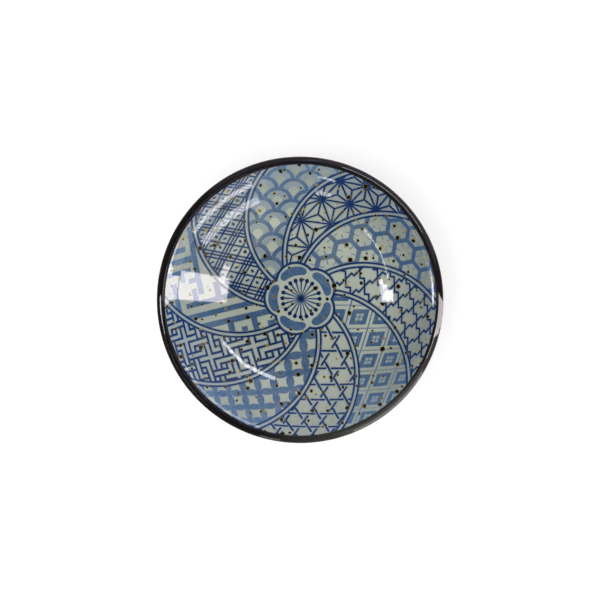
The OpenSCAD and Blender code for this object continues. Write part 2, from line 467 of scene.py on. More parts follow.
def drawn(distance, half):
    """The blue that bleeds from a drawn line into the glaze, and the dark line itself."""
    return soft(distance, half + BLEED_WIDTH, BLEED_BLUR) * BLEED_SHARE, soft(distance, half)


def closest(distances):
    """The least of several distances."""
    return reduce(Sum.least, distances)


def overlaid(inks):
    """The strongest of several washes, and of their lines, where all but the first may be plain numbers."""
    washes, lines = zip(*inks)
    return reduce(Sum.most, washes), reduce(Sum.most, lines)


def beyond(value, low, high):
    """How far a value lies outside a span, below zero inside it."""
    return abs(value - (low + high) / 2) - (high - low) / 2


def stroke(near, direction, half_length=None):
    """Distance to a straight stroke through a point, as long as its direction if no length is given."""
    size = math.hypot(*direction)
    half = size / 2 if half_length is None else half_length
    dx, dy = direction[0] / size, direction[1] / size
    along_it = near[0] * dx + near[1] * dy
    beside = near[1] * dx - near[0] * dy
    return hypot((abs(along_it) - half).most(0.0), beside)


def near_rim(recipe):
    """0 in the middle of the hollow, rising to 1 beside the rim."""
    return spread(recipe.reach, *NEAR_RIM)


def from_centre(recipe, offset, turn):
    """Millimetres from a point that is set off from the axis in a direction."""
    dx = recipe.x - offset / MM * math.cos(turn)
    dy = recipe.y - offset / MM * math.sin(turn)
    return hypot(dx, dy)


class Lattice:
    """A repeating layout: two steps on the dish, and the place of a point counted in those steps."""

    def __init__(self, recipe, layout_numbers):
        x, y, self.across, turn_across, self.up, turn_up, growth = layout_numbers
        turn_across, turn_up = math.radians(turn_across), math.radians(turn_up)
        self.recipe = recipe
        self.a = (self.across * math.cos(turn_across), self.across * math.sin(turn_across))
        self.b = (self.up * math.cos(turn_up), self.up * math.sin(turn_up))
        self.area = self.a[0] * self.b[1] - self.a[1] * self.b[0]
        slant = abs(self.area) / (self.across * self.up)
        self.tall_across = self.across * slant
        self.tall_up = self.up * slant
        grown = growth / PRINT_RADIUS**2 * (recipe.x * recipe.x + recipe.y * recipe.y)
        self.scale = 1 + 2 * grown
        self.i, self.j = self.steps(recipe.x * (1 + grown) - x, recipe.y * (1 + grown) - y)

    def steps(self, dx, dy):
        """A way in millimetres, counted in the layout's own steps."""
        i = dx * (self.b[1] / self.area) - dy * (self.b[0] / self.area)
        j = dy * (self.a[0] / self.area) - dx * (self.a[1] / self.area)
        return i, j

    def millimetres(self, i, j):
        """A way counted in the layout's own steps, in millimetres."""
        return i * self.a[0] + j * self.b[0], i * self.a[1] + j * self.b[1]

    def near(self, i=0.0, j=0.0):
        """Millimetres from the nearest copy of a point."""
        return self.millimetres((self.i - i).fraction(), (self.j - j).fraction())

    def folded(self):
        """Steps from the nearest repeat, the same on both sides of it."""
        return abs(self.i.fraction()), abs(self.j.fraction())


def wave_pattern(lattice, hand):
    """Overlapping wave scales: a broad band, fine arcs and a bare core in each."""
    width, row = lattice.across, lattice.up
    radius, band, core, core_gap = width / 2, 1.5, 2.0, 0.1
    arc_step, arc_half = 0.7, 0.22
    front = (lattice.j - radius / row).ceiling()
    shift = 0.5 * front.remainder(2.0)
    dx = abs((lattice.i - shift).fraction()) * width
    dy = (lattice.j - front) * row
    first = hypot(dx, dy)
    second = hypot(radius - dx, dy - row)
    reach = second + (first - second) * first.under(radius) + hand * 0.4
    broad = soft(radius - band - reach, 0.0, 0.12) * 0.92
    fine = soft(abs(((reach - core) / arc_step).fraction()) * arc_step, arc_half)
    veil = soft(core - core_gap - reach, 0.0) * (0.08 + 0.5 * fine)
    return broad.most(veil), 0.0


def hemp_leaf_pattern(lattice, hand):
    """Six-pointed hemp leaves: triangles, each split from its corners to its middle."""
    taper_reach, taper_loss = 0.8, 0.2
    fi = lattice.i - lattice.i.floor()
    fj = lattice.j - lattice.j.floor()
    flip = (fi + fj).over(1.0)
    p = fi + flip * (1 - 2 * fi)
    q = fj + flip * (1 - 2 * fj)
    r = 1 - p - q
    low = p.least(q).least(r)
    high = p.most(q).most(r)
    middle = 1 - low - high
    side = (lattice.across + lattice.up + math.dist(lattice.a, lattice.b)) / 3
    distance = (low * (side * math.sqrt(0.75))).least((middle - low) * (side / 2))
    taper = soft((1 - high) * side, taper_reach, taper_reach) * taper_loss
    half = 0.27 + 0.07 * near_rim(lattice.recipe)
    return drawn(distance / lattice.scale + hand + taper, half)


def hexagon_pattern(lattice, hand):
    """Tortoiseshell hexagons with a tick across the middle of each edge."""
    edge_half, tick_half, tick_length = 0.86, 0.16, 2.5
    third = 0.0 - lattice.i - lattice.j
    ei, ej, ek = lattice.i.fraction(), lattice.j.fraction(), third.fraction()
    slack = ei + ej + ek
    i_worst = abs(ei).over(abs(ej).most(abs(ek)))
    j_worst = (1 - i_worst) * abs(ej).over(abs(ek))
    x, y = lattice.millimetres(ei - slack * i_worst, ej - slack * j_worst)
    across = (lattice.b[0] - lattice.a[0], lattice.b[1] - lattice.a[1])
    edges, ticks = [], []
    for step in (lattice.a, lattice.b, across):
        size = math.hypot(*step)
        nx, ny = step[0] / size, step[1] / size
        to_edge = size / 2 - abs(x * nx + y * ny)
        edges.append(to_edge)
        ticks.append((abs(y * nx - x * ny) - tick_half).most(to_edge - tick_length))
    edge = soft(closest(edges) + hand, edge_half, 0.17)
    tick = soft(closest(ticks) + hand, 0.03, 0.13) * 0.8
    return edge.most(tick) * (0.88 + 0.3 * near_rim(lattice.recipe)), 0.0


def pine_bark_pattern(lattice, hand):
    """Pine bark: two families of lines that step aside half-way between their crossings."""
    families = (
        (lattice.a, (0.85, -0.85), (0.5, 0.0)),
        (lattice.b, (1.55, -0.05), (0.0, 0.5)),
    )
    strokes = []
    for step, jog, half_way in families:
        line = (step[0] - jog[0], step[1] - jog[1])
        strokes.append(stroke(lattice.near(), line))
        strokes.append(stroke(lattice.near(*half_way), jog))
    return drawn(closest(strokes) / lattice.scale + hand, 0.3)


def lozenge_pattern(lattice, hand):
    """Lozenge grid, with a solid lozenge in each space and four small lights in it."""
    block_across, block_up, light_place, light_half = 0.355, 0.33, 0.085, 0.064
    i, j = lattice.folded()
    steep = soft((0.5 - i) * lattice.tall_across + hand, 0.27, 0.1) * 0.85
    level = soft((0.5 - j) * lattice.tall_up + hand, 0.2, 0.1) * 0.75
    block = ((i - block_across) * lattice.tall_across).most((j - block_up) * lattice.tall_up)
    light = (abs(i - light_place) - light_half).most(abs(j - light_place) - light_half) * lattice.tall_up
    solid = soft(block + hand, 0.0, 0.1) * (1 - soft(light, 0.0, 0.16) * 0.85)
    return solid.most(steep).most(level), 0.0


def basket_pattern(lattice, hand):
    """Basket weave: three families of strokes that pass over and under."""
    strokes = (
        stroke(lattice.near(), lattice.a, 2.45),
        stroke(lattice.near(-0.5, 0.0), (0.47, -0.88), 2.75),
        stroke(lattice.near(*lattice.steps(-1.3, -3.2)), (0.5, 0.87), 2.3),
    )
    return drawn(closest(strokes) / lattice.scale + hand, 0.32)


def circle_pattern(lattice, hand):
    """Linked circles, drawn as the leaves where neighbours overlap."""
    leaf_edge = 0.738
    i, j = lattice.folded()
    size = (lattice.across + lattice.up) / 2
    first = soft((hypot(1 - i, j) - leaf_edge) * size + hand, 0.0)
    second = soft((hypot(i, 1 - j) - leaf_edge) * size + hand, 0.0)
    return (first.most(second) * 0.95 + first * second * 0.2).clamp(), 0.0


def fret_pattern(lattice, hand):
    """Key fret of pale crosses whose arms hook round each other, four alike round each cross."""
    half_repeat = 4
    m = ((lattice.i + lattice.j) / (2 * half_repeat)).nearest()
    n = ((lattice.i - lattice.j) / (2 * half_repeat)).nearest()
    p = lattice.i - half_repeat * (m + n)
    q = lattice.j - half_repeat * (m - n)
    same = (p * q).over(0.0)
    a = abs(q) + same * (abs(p) - abs(q))
    b = abs(p) + same * (abs(q) - abs(p))
    lines = [abs(a - place).most(beyond(b, low, high)) for place, low, high in FRET_UPRIGHTS]
    lines += [abs(b - place).most(beyond(a, low, high)) for place, low, high in FRET_LEVELS]
    return drawn(closest(lines) * lattice.across / lattice.scale + hand, 0.36)


def key_pattern(lattice, hand):
    """Broad key pattern of bars."""
    bars = [
        beyond(lattice.i, left, right).most(beyond(lattice.j, low, high))
        for left, right, low, high in KEY_BARS
    ]
    return soft(closest(bars) * lattice.across + hand, 0.0), 0.0


def check_pattern(lattice, hand):
    """Lattice check: three close lines and one single line by turns, with a dash in each space."""
    gap, dash_half, dash_swell = 0.125, 0.28, 0.06
    centre = 0.25 + gap / 2
    i, j = lattice.folded()
    lines = []
    for place, tall in ((i, lattice.tall_across), (j, lattice.tall_up)):
        lines.append(closest((place, abs(place - gap), abs(place - 0.5))) * tall)
    from_dash = ((i - centre) * lattice.tall_across, (j - centre) * lattice.tall_up)
    dash = stroke(from_dash, (0.7, 0.5), dash_half) - dash_swell
    return drawn(closest((*lines, dash)) / lattice.scale + hand, 0.27)


FIELDS = (
    ("wave", wave_pattern, "pale_print"),
    ("hemp_leaf", hemp_leaf_pattern, "dark_print"),
    ("hexagon", hexagon_pattern, "pale_print"),
    ("pine_bark", pine_bark_pattern, "dark_print"),
    ("lozenge", lozenge_pattern, "pale_print"),
    ("basket", basket_pattern, "dark_print"),
    ("circle", circle_pattern, "pale_print"),
    ("fret", fret_pattern, "dark_print"),
    ("key", key_pattern, "pale_print"),
    ("check", check_pattern, "dark_print"),
)


def hand_shake(recipe):
    """Small unevenness of a printed edge, in millimetres."""
    return (recipe.noise(1.1, 2) - 0.5) * 0.22


def pale_ground(recipe):
    """Pale glaze with soft clouds of depth and a fine grain, darker towards the rim."""
    colours = recipe.colours
    bright = tuple(min(1, 1.12 * c) for c in colours.ground)
    base = recipe.mix(recipe.patches(9, 3, 0.35, 0.7), colours.ground, colours.ground_deep)
    base = recipe.mix(spread(recipe.reach, 26, 42), base, colours.ground_rimward)
    return recipe.mix(recipe.patches(0.5, 2, 0.5, 0.8) * 0.4, base, bright)


def iron_specks(recipe, base):
    """Iron specks: large ones with a black core and small ochre ones, each in a rusty stain."""
    ragged = (recipe.noise(0.7, 1) - 0.5) * 0.65
    settings = {"voronoi_dimensions": "2D", "feature": "F1"}
    for cell, shift, least, growth, loss in SPECKS:
        shifted = {0: recipe.place, 1: (shift, shift, shift)}
        where = recipe.node("ShaderNodeVectorMath", {"operation": "ADD"}, shifted)
        values = {"Vector": where, "Scale": 1 / cell}
        reach = recipe.node("ShaderNodeTexVoronoi", settings, values, "Distance") * cell
        chance = recipe.node("ShaderNodeTexVoronoi", settings, values, "Color")
        size = recipe.node("ShaderNodeSeparateColor", {}, {0: chance}, "Red")
        depth = recipe.node("ShaderNodeSeparateColor", {}, {0: chance}, "Green")
        outside = reach + ragged - (least + growth * size * size)
        stain = soft(outside, 0.1, 0.12) * (0.75 + 0.2 * depth)
        core = soft(outside + (1 - depth) * loss, 0.06, 0.09)
        base = recipe.mix(stain, base, recipe.colours.rust)
        base = recipe.mix(core, base, recipe.colours.speck)
    return base


def flare(recipe):
    """Height of the glaze where it leans outwards towards the lip, in millimetres."""
    past = recipe.reach.least(FLARE_END).most(FLARE_START) - FLARE_START
    bend = past.least(FLARE_TURN)
    fall = bend * bend * (FLARE_SLOPE / FLARE_TURN / 2) + (past - bend) * FLARE_SLOPE
    return 0 - fall - past * past * FLARE_GAIN


def glaze_finish(recipe, base, roughness=0.03, flared=False):
    """Glossy glaze with a faint ripple and fine pits, that leans outwards beside the lip if asked."""
    ripple, pits = recipe.noise(5.5, 1), recipe.noise(0.9, 1)
    dull = roughness + 0.04 * recipe.patches(3, 2, 0.45, 0.8)
    bumps = [(ripple, 0.09, 0.1 * MM), (pits, 0.06, 0.03 * MM)]
    if flared:
        bumps.append((flare(recipe), 1.0, MM))
    return recipe.finish(base, dull, bumps)


def speckled(recipe, base):
    """Finish of the hollow: iron specks in a glaze that leans outwards beside the lip."""
    return glaze_finish(recipe, iron_specks(recipe, base), flared=True)


def washed(recipe, wash):
    """Pale blue ink on the pale ground, thicker here and thinner there."""
    pooled = 0.8 + 0.4 * recipe.noise(4, 2) - 0.2 * recipe.patches(0.6, 1, 0.45, 0.8)
    depth = wash * pooled * 2
    base = recipe.mix(depth.clamp(), pale_ground(recipe), recipe.colours.wash_thin)
    return recipe.mix((depth - 1).clamp(), base, recipe.colours.wash)


def printed(recipe, wash, line):
    """Pale and dark ink on the pale ground, and the hollow's finish."""
    loaded = 0.84 + 0.32 * recipe.noise(2.5, 2)
    return speckled(recipe, recipe.mix((line * loaded).clamp(), washed(recipe, wash), recipe.colours.ink))


def blossom_outline(recipe, form):
    """The blossom's dark outline, which runs a little way over what lies round it."""
    depths = []
    for index in range(form.petal_count):
        aside = from_centre(recipe, form.petal_offset, petal_bearing(form, index))
        depths.append(form.petal_radius / MM - aside)
    return drawn(abs(reduce(Sum.most, depths) + OUTLINE_SHIFT), OUTLINE_HALF)


def field_material(name, pattern, layout_numbers, form, index, colours):
    """A printed field under glaze, with the ribbons' lines running a little way over its two borders."""
    recipe = Recipe(name, colours)
    inks = [blossom_outline(recipe, form)]
    for border, shift in ((index, -form.ribbon_width / 2), (index + 1, form.ribbon_width / 2)):
        border %= len(form.ribbon_bearing)
        bearing = math.radians(form.ribbon_bearing[border])
        curve = form.ribbon_radius[border] + shift / MM
        inks.append(drawn(abs(from_centre(recipe, form.ribbon_reach, bearing) - curve), LINE_OVERLAP))
    inks.append(pattern(Lattice(recipe, layout_numbers), hand_shake(recipe)))
    return printed(recipe, *overlaid(inks))


def ribbon_material(form, colours):
    """Two dark lines along a pale ribbon."""
    recipe = Recipe("ribbon_ink", colours)
    across = recipe.node("ShaderNodeUVMap", {"uv_map": MAP_NAME})
    share = recipe.node("ShaderNodeSeparateXYZ", {}, {0: across}, "X")
    width = form.ribbon_width / MM
    from_edge = width / 2 - abs(share - 0.5) * width
    lines = drawn(from_edge + hand_shake(recipe) * 0.4, RIBBON_LINE)
    return printed(recipe, *overlaid((lines, blossom_outline(recipe, form))))


def blossom_material(form, colours):
    """Pale blossom with a dark outline, and a blue haze round its middle."""
    recipe = Recipe("blossom_glaze", colours)
    haze = soft(recipe.reach, 1.3, 0.8) * 0.8
    return printed(recipe, *overlaid((blossom_outline(recipe, form), (haze, 0.0))))


def petal_material(colours):
    """Pale blue fill of a petal."""
    recipe = Recipe("petal_ink", colours)
    return speckled(recipe, washed(recipe, 1.0))


def stamen_material(form, colours):
    """Dark tips and star, with paler stems between them."""
    recipe = Recipe("stamen_ink", colours)
    tip = soft(abs(form.stamen_reach / MM - recipe.reach), form.stamen_tip / 2 / MM, 0.4)
    star = soft(recipe.reach, form.star_diameter * 0.36 / MM, 0.35)
    load = (0.2 + 0.6 * tip.most(star) + 0.5 * recipe.noise(1.5, 1)).clamp()
    base = recipe.mix(load, colours.wash, colours.ink)
    return speckled(recipe, recipe.mix((star * 0.5).most(tip * 0.25), base, colours.speck))


def pale_glaze_material(colours):
    """Pale glaze under the print."""
    recipe = Recipe("pale_glaze", colours)
    return speckled(recipe, pale_ground(recipe))


def rim_material(shape, colours):
    """Near-black rim glaze that runs thin and brown at its inner edge and where the lip turns down, with
    painted light that lightens it a little on one side.
    """
    recipe = Recipe("rim_glaze_dark", colours)
    drift = recipe.noise(7, 3)
    inner = soft(recipe.reach - shape.field_radius / MM, -0.1, 0.15) * spread(drift, 0.4, 0.6)
    turned = soft((shape.lip_radius + shape.lip_half) / MM - recipe.reach, 0.25, 0.15)
    thin = turned * spread(drift, 0.35, 0.55)
    cloud = recipe.patches(1.2, 3, 0.5, 0.75) * 0.1
    # Painted light: the rim is mixed a little towards the pale ground on its side towards +X and -Y, as if
    # lit from there.
    painted_side_light = spread(recipe.x * 0.42 - recipe.y * 0.9, 34, 44) * 0.04
    base = recipe.mix(inner.most(thin).most(cloud), colours.rim, colours.rim_thin)
    return glaze_finish(recipe, recipe.mix(painted_side_light, base, colours.ground))


def outside_material(name, colours):
    """Dark glaze of the outside, broken to rust in runs and specks."""
    recipe = Recipe(name, colours)
    turn = recipe.y.step("ARCTAN2", recipe.x)
    runs = recipe.node("ShaderNodeCombineXYZ", {}, {"X": turn * 9, "Y": recipe.z * 0.05, "Z": 0.0})
    streak = recipe.noise(0.625, 3, 0.6, runs)
    broken = spread(streak * 0.5 + recipe.noise(5, 3) * 0.5, 0.46, 0.66)
    fleck = recipe.patches(0.8, 2, 0.58, 0.72)
    low = spread(0 - recipe.z, -9.0, -6.4)
    rust = (broken * 0.55 + fleck * 0.3 + low * 0.5).clamp()
    return glaze_finish(recipe, recipe.mix(rust, colours.outside, colours.outside_rust), 0.12)


def clay_material(colours):
    """Bare stoneware with turning marks, flashing and dark grains."""
    recipe = Recipe("bare_clay", colours)
    grain = recipe.noise(0.25, 3, 0.7)
    base = recipe.mix(recipe.patches(8, 3, 0.4, 0.65) * 0.7, colours.clay, colours.clay_dark)
    base = recipe.mix(spread(grain, 0.62, 0.7) * 0.7, base, colours.speck)
    rings = (recipe.reach * 9 + recipe.z * 6 + recipe.noise(2, 1) * 2).sine() * 0.5 + 0.5
    return recipe.finish(base, 0.78 + 0.15 * grain, ((rings, 0.35, 0.03 * MM), (grain, 0.5, 0.04 * MM)))


def floor_material(stage):
    """White floor that keeps a shadow and is plain white to the camera where it is lit."""
    recipe = Recipe("white_floor")
    rays = ("Is Camera Ray", "Is Glossy Ray", "Is Transmission Ray")
    seen = reduce(Sum.most, (recipe.node("ShaderNodeLightPath", out=ray) for ray in rays))
    tone = stage.floor_tone
    matt = recipe.node("ShaderNodeBsdfDiffuse", {}, {"Color": (tone, tone, tone, 1)})
    glow = recipe.node("ShaderNodeEmission", {}, {"Strength": seen * stage.floor_glow})
    both = recipe.node("ShaderNodeAddShader", {}, {0: matt, 1: glow})
    recipe.node("ShaderNodeOutputMaterial", {}, {"Surface": both})
    return recipe.material


def deselect():
    """Leaves object mode with nothing selected."""
    if bpy.context.object and bpy.context.object.mode != "OBJECT":
        bpy.ops.object.mode_set(mode="OBJECT")
    bpy.ops.object.select_all(action="DESELECT")


def select_only(*pieces):
    """Selects pieces alone, with the first one active."""
    deselect()
    for piece in pieces:
        piece.select_set(True)
    bpy.context.view_layer.objects.active = pieces[0]


def points_of(mesh):
    """The mesh's points as rows."""
    flat = np.empty(len(mesh.vertices) * 3)
    mesh.vertices.foreach_get("co", flat)
    return flat.reshape(-1, 3)


def put_points(mesh, points):
    """Moves the mesh's points to rows of places."""
    mesh.vertices.foreach_set("co", points.ravel())
    mesh.update()


def set_finish(piece, material):
    """Gives a piece one material alone."""
    piece.data.materials.clear()
    piece.data.materials.append(material)


def dress(piece, material, slot, *nodes):
    """Gives a piece smooth shading, its finish and its body, and hides the nodes that it stands for. The
    slot is not used.
    """
    select_only(piece)
    bpy.ops.object.shade_smooth_by_angle(angle=SMOOTH_LIMIT)
    set_finish(piece, material)
    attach(piece, "root")
    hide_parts(*nodes)


def film(name, grid, place, thickness):
    """A thin printed film: a grid laid on the hollow by a formula, then given its thickness."""
    deselect()
    bpy.ops.mesh.primitive_grid_add(x_subdivisions=grid[0], y_subdivisions=grid[1], size=2)
    piece = bpy.context.object
    piece.name = name
    mesh = piece.data
    flat = points_of(mesh)
    put_points(mesh, place((flat[:, 0] + 1) / 2, (flat[:, 1] + 1) / 2))
    mesh.uv_layers[0].name = MAP_NAME
    top_faces, top_points = len(mesh.polygons), len(mesh.vertices)
    wall = piece.modifiers.new("thickness", "SOLIDIFY")
    wall.thickness = thickness
    wall.offset = -1
    bpy.ops.object.modifier_apply(modifier=wall.name)
    lay_out_map(mesh, top_faces, top_points)
    return piece


def lay_out_map(mesh, top_faces, top_points):
    """Gives the printed side most of the map, and the back and the four walls a strip each."""
    top_low, back_high, wall_low, wall_row, wall_width = 0.1, 0.05, 0.06, 0.009, 0.006
    layer = mesh.uv_layers[MAP_NAME].data
    flat = np.empty(len(layer) * 2)
    layer.foreach_get("uv", flat)
    corners = flat.reshape(-1, 4, 2)
    owners = np.empty(len(layer), dtype=int)
    mesh.loops.foreach_get("vertex_index", owners)
    below = owners.reshape(-1, 4) >= top_points
    u, v = corners[..., 0].copy(), corners[..., 1].copy()
    top, back = slice(0, top_faces), slice(top_faces, 2 * top_faces)
    walls = slice(2 * top_faces, None)
    corners[top, :, 1] = top_low + (1 - top_low) * v[top]
    corners[back, :, 1] = back_high * v[back]
    side_wall = np.ptp(u[walls], axis=1) < np.ptp(v[walls], axis=1)
    far = np.where(side_wall, u[walls].mean(axis=1), v[walls].mean(axis=1)) > 0.5
    row = wall_low + wall_row * (2 * side_wall + far)
    corners[walls, :, 0] = np.where(side_wall[:, None], v[walls], u[walls])
    corners[walls, :, 1] = row[:, None] + wall_width * below[walls]
    layer.foreach_set("uv", corners.ravel())


def spun(name, profile, steps=ROUND_STEPS):
    """Turns a closed profile of distances from the axis and heights once round the axis."""
    deselect()
    bpy.ops.mesh.primitive_circle_add(vertices=len(profile), radius=MM)
    piece = bpy.context.object
    piece.name = name
    for point, (reach, height) in zip(piece.data.vertices, profile):
        point.co = (reach, 0, height)
    bpy.ops.object.mode_set(mode="EDIT")
    bpy.ops.mesh.select_all(action="SELECT")
    bpy.ops.mesh.spin(steps=steps, angle=FULL_TURN, center=(0, 0, 0), axis=(0, 0, 1))
    bpy.ops.mesh.select_all(action="SELECT")
    bpy.ops.mesh.remove_doubles(threshold=0.001 * MM)
    bpy.ops.mesh.delete_loose()
    bpy.ops.mesh.select_all(action="SELECT")
    bpy.ops.mesh.normals_make_consistent(inside=False)
    bpy.ops.object.mode_set(mode="OBJECT")
    return piece


def waver(turn, waves):
    """A slow hand-made unevenness round the dish: a sum of waves given as count, shift and height."""
    return sum(height * np.sin(count * turn + shift) for count, shift, height in waves)


def creep(piece, height, shift):
    """Moves a coat along the surface that it lies on, by a shift that varies with turn and reach."""
    points = points_of(piece.data)
    turn = np.arctan2(points[:, 1], points[:, 0])
    reach = np.hypot(points[:, 0], points[:, 1])
    moved = reach + shift(turn, reach)
    points[:, 2] += height(moved) - height(reach)
    points[:, :2] *= (moved / reach)[:, None]
    put_points(piece.data, points)


def arc(centre, radius, start, end, count):
    """Points along an arc, by angles in radians."""
    return [
        (centre[0] + radius * math.cos(a), centre[1] + radius * math.sin(a))
        for a in np.linspace(start, end, count)
    ]


def along(surface, shape, start, end, count, inset=0):
    """Points along the hollow or the outside between two distances from the axis."""
    return [(r, float(surface(shape, r, inset))) for r in np.linspace(start, end, count)]


def crest_profile(form, start):
    """Points over the lip: a tight inner edge, the crest, a broad outward slope and a rounded corner."""
    side, corner_end = form.rim_diameter / 2, 0.05
    crest = (side - form.crest_inset, form.overall_height - form.crest_gap)
    run, rise = crest[0] - start[0], crest[1] - start[1]
    points = [
        (crest[0] - run * math.cos(a), start[1] + rise * math.sin(a))
        for a in np.linspace(0, QUARTER_TURN, 12)
    ]
    first, last = QUARTER_TURN - form.slope_start, QUARTER_TURN - form.slope_end

    def onward(radius, begin, end, count):
        """An arc that goes on from the last point."""
        x, z = points[-1]
        centre = (x - radius * math.cos(begin), z - radius * math.sin(begin))
        return arc(centre, radius, begin, end, count)[1:]

    points += onward(form.crest_round, QUARTER_TURN, first, 10)
    slope_reach = side - form.corner_round * (1 - math.cos(last)) - points[-1][0]
    points += onward(slope_reach / (math.cos(last) - math.cos(first)), first, last, 14)
    points += onward(form.corner_round, last, corner_end, 8)
    return points[1:]


def divider_angle(form, index, reach, shift):
    """Angle at which a ribbon's curve, grown by a shift, crosses a round of that radius about the axis."""
    lap, index = divmod(index, len(form.ribbon_bearing))
    bearing = math.radians(form.ribbon_bearing[index] - 360 * lap)
    radius = form.ribbon_radius[index] * MM + shift
    cosine = (reach**2 + form.ribbon_reach**2 - radius**2) / (2 * reach * form.ribbon_reach)
    return bearing + np.arccos(cosine)


def circle_edge(offset, radius, aside):
    """Distance from the axis to the far side of a circle that is set off from it."""
    return offset * np.cos(aside) + np.sqrt(radius**2 - (offset * np.sin(aside)) ** 2)


def blossom_edge(form, turn):
    """Distance from the axis to the blossom's outline in a direction."""
    step = FULL_TURN / form.petal_count
    aside = np.mod(turn - form.blossom_bearing + step / 2, step) - step / 2
    return circle_edge(form.petal_offset, form.petal_radius, aside)


def on_hollow(shape, reach, turn, lift=0.0):
    """Points on the hollow's surface, lifted off it if asked."""
    height = hollow_height(shape, reach) + lift
    return np.stack([reach * np.cos(turn), reach * np.sin(turn), height], axis=1)


def on_disc(across, along_it):
    """Share of the radius and direction of a square grid's points laid on a disc, with no pole."""
    a, b = 2 * across - 1, 2 * along_it - 1
    x, y = a * np.sqrt(1 - b**2 / 2), b * np.sqrt(1 - a**2 / 2)
    return np.hypot(x, y), np.arctan2(y, x)


def between_ribbons(form, shape, left, right):
    """How a grid lies between two ribbon edges, from the blossom out to the rim band."""
    halvings = 40

    def turn_at(reach, across):
        first = divider_angle(form, left[0], reach, left[1])
        last = divider_angle(form, right[0], reach, right[1])
        return first + (last - first) * across

    def place(across, along_it):
        near = np.full_like(across, form.petal_offset)
        far = np.full_like(across, form.petal_offset + form.petal_radius)
        for _ in range(halvings):
            middle = (near + far) / 2
            inside = middle < blossom_edge(form, turn_at(middle, across))
            near = np.where(inside, middle, near)
            far = np.where(inside, far, middle)
        reach = near + (shape.field_radius - near) * along_it
        return on_hollow(shape, reach, turn_at(reach, across))

    return place


def whole_blossom(form, shape):
    """How a square grid lies on the whole five-lobed blossom."""

    def place(across, along_it):
        share, turn = on_disc(across, along_it)
        return on_hollow(shape, share * blossom_edge(form, turn), turn)

    return place


def petal_place(form, shape, index, lift):
    """How a grid lies on one kidney-shaped petal fill with rounded ends."""
    axis = petal_bearing(form, index)
    heart, end_share = form.heart_radius, 0.999
    thick = form.fill_offset + form.fill_radius - heart
    straight = 1 - thick / 2 / (form.fill_turn * (heart + thick / 2))

    def place(across, along_it):
        end = (1 - 2 * across) * end_share
        aside = end * form.fill_turn
        outer = circle_edge(form.fill_offset, form.fill_radius, aside)
        rounded = np.clip((np.abs(end) - straight) / (1 - straight), 0, 1)
        half = (outer - heart) / 2 * np.sqrt(1 - rounded**2)
        reach = (outer + heart) / 2 + (2 * along_it - 1) * half
        return on_hollow(shape, reach, axis + aside, lift)

    return place


def stamen_place(form, shape, turn, lift):
    """How a grid lies on one stamen, a thin stem that swells to a long round tip."""
    start = form.star_diameter * 0.2
    tip_half, tip_stretch, end_share = form.stamen_tip / 2, 1.1, 0.9995
    tip_length = tip_half * tip_stretch
    end = (form.stamen_reach + tip_length) * end_share

    def place(across, along_it):
        reach = start + (end - start) * along_it
        stem = form.stamen_stem / 2 * (0.4 + 0.6 * along_it) * (reach < form.stamen_reach)
        from_tip = (reach - form.stamen_reach) / tip_length
        bulb = tip_half * np.sqrt(np.clip(1 - from_tip**2, 0, 1))
        half = np.maximum(stem, bulb)
        return on_hollow(shape, reach, turn - (2 * across - 1) * half / reach, lift)

    return place


def star_place(form, shape, lift):
    """How a square grid lies on the ragged star in the middle."""
    mean_share = 0.74

    def place(across, along_it):
        share, turn = on_disc(across, along_it)
        edge = form.star_diameter / 2 * (mean_share + waver(turn, STAR_WAVES))
        return on_hollow(shape, share * edge, turn, lift)

    return place


class PieceOperator:
    """What the piece operators share."""

    bl_options = {"REGISTER", "UNDO"}

    def values(self, context):
        scene = context.scene
        return scene.dish_form, derive(scene.dish_form), scene.dish_colours


class DISH_OT_clay(PieceOperator, bpy.types.Operator):
    """Finishes the clay body and models the turned foot ring"""

    bl_idname = "dish.clay"
    bl_label = "Clay body and foot"

    def execute(self, context):
        form, shape, colours = self.values(context)
        material = clay_material(colours)
        set_finish(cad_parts["clay_body"], material)
        edge, lean = form.foot_edge, form.foot_lean
        outer, inner = shape.foot_outer, shape.foot_inner
        sunk = shape.coat * 1.5
        profile = arc((inner + edge, edge), edge, 3 * QUARTER_TURN, 2 * QUARTER_TURN, 7)
        profile += along(outside_height, shape, inner - lean, outer + lean, 12, sunk)
        profile += arc((outer - edge, edge), edge, 0, -QUARTER_TURN, 7)
        dress(spun("foot_ring_turned", profile), material, "clay", "foot_ring")
        return {"FINISHED"}


class DISH_OT_outer_glazes(PieceOperator, bpy.types.Operator):
    """Models the dark glaze of the outside and of the recess in the foot"""

    bl_idname = "dish.outer_glazes"
    bl_label = "Outer glazes"

    def execute(self, context):
        form, shape, colours = self.values(context)
        outside = partial(along, outside_height, shape)
        roll = shape.coat / 2
        nose = 0.2 * roll
        bottom = shape.foot_outer + form.foot_lean + form.bare_band
        profile = outside(bottom + roll, shape.band_reach, 50)
        profile += outside(shape.band_reach, bottom + roll, 20, shape.coat)
        profile += outside(bottom + nose, bottom + nose, 1, shape.coat * 0.6)
        outer = spun("outer_glaze_coat", profile)

        def rise(turn, reach):
            share = np.clip(1 - (reach - bottom) / form.glaze_run, 0, 1)
            return share * (form.glaze_rise + waver(turn, GLAZE_LINE_WAVES))

        creep(outer, partial(outside_height, shape), rise)
        dress(outer, outside_material("outer_glaze_dark", colours), "dark_glaze", "outer_glaze")
        edge = shape.foot_inner - form.foot_lean - form.bare_band
        profile = outside(0, edge - roll, 30)
        profile += outside(edge - nose, edge - nose, 1, shape.coat * 0.5)
        profile += outside(edge - roll, 0, 12, shape.coat)
        base = spun("base_glaze_coat", profile)
        dress(base, outside_material("base_glaze_dark", colours), "dark_glaze", "base_glaze")
        return {"FINISHED"}


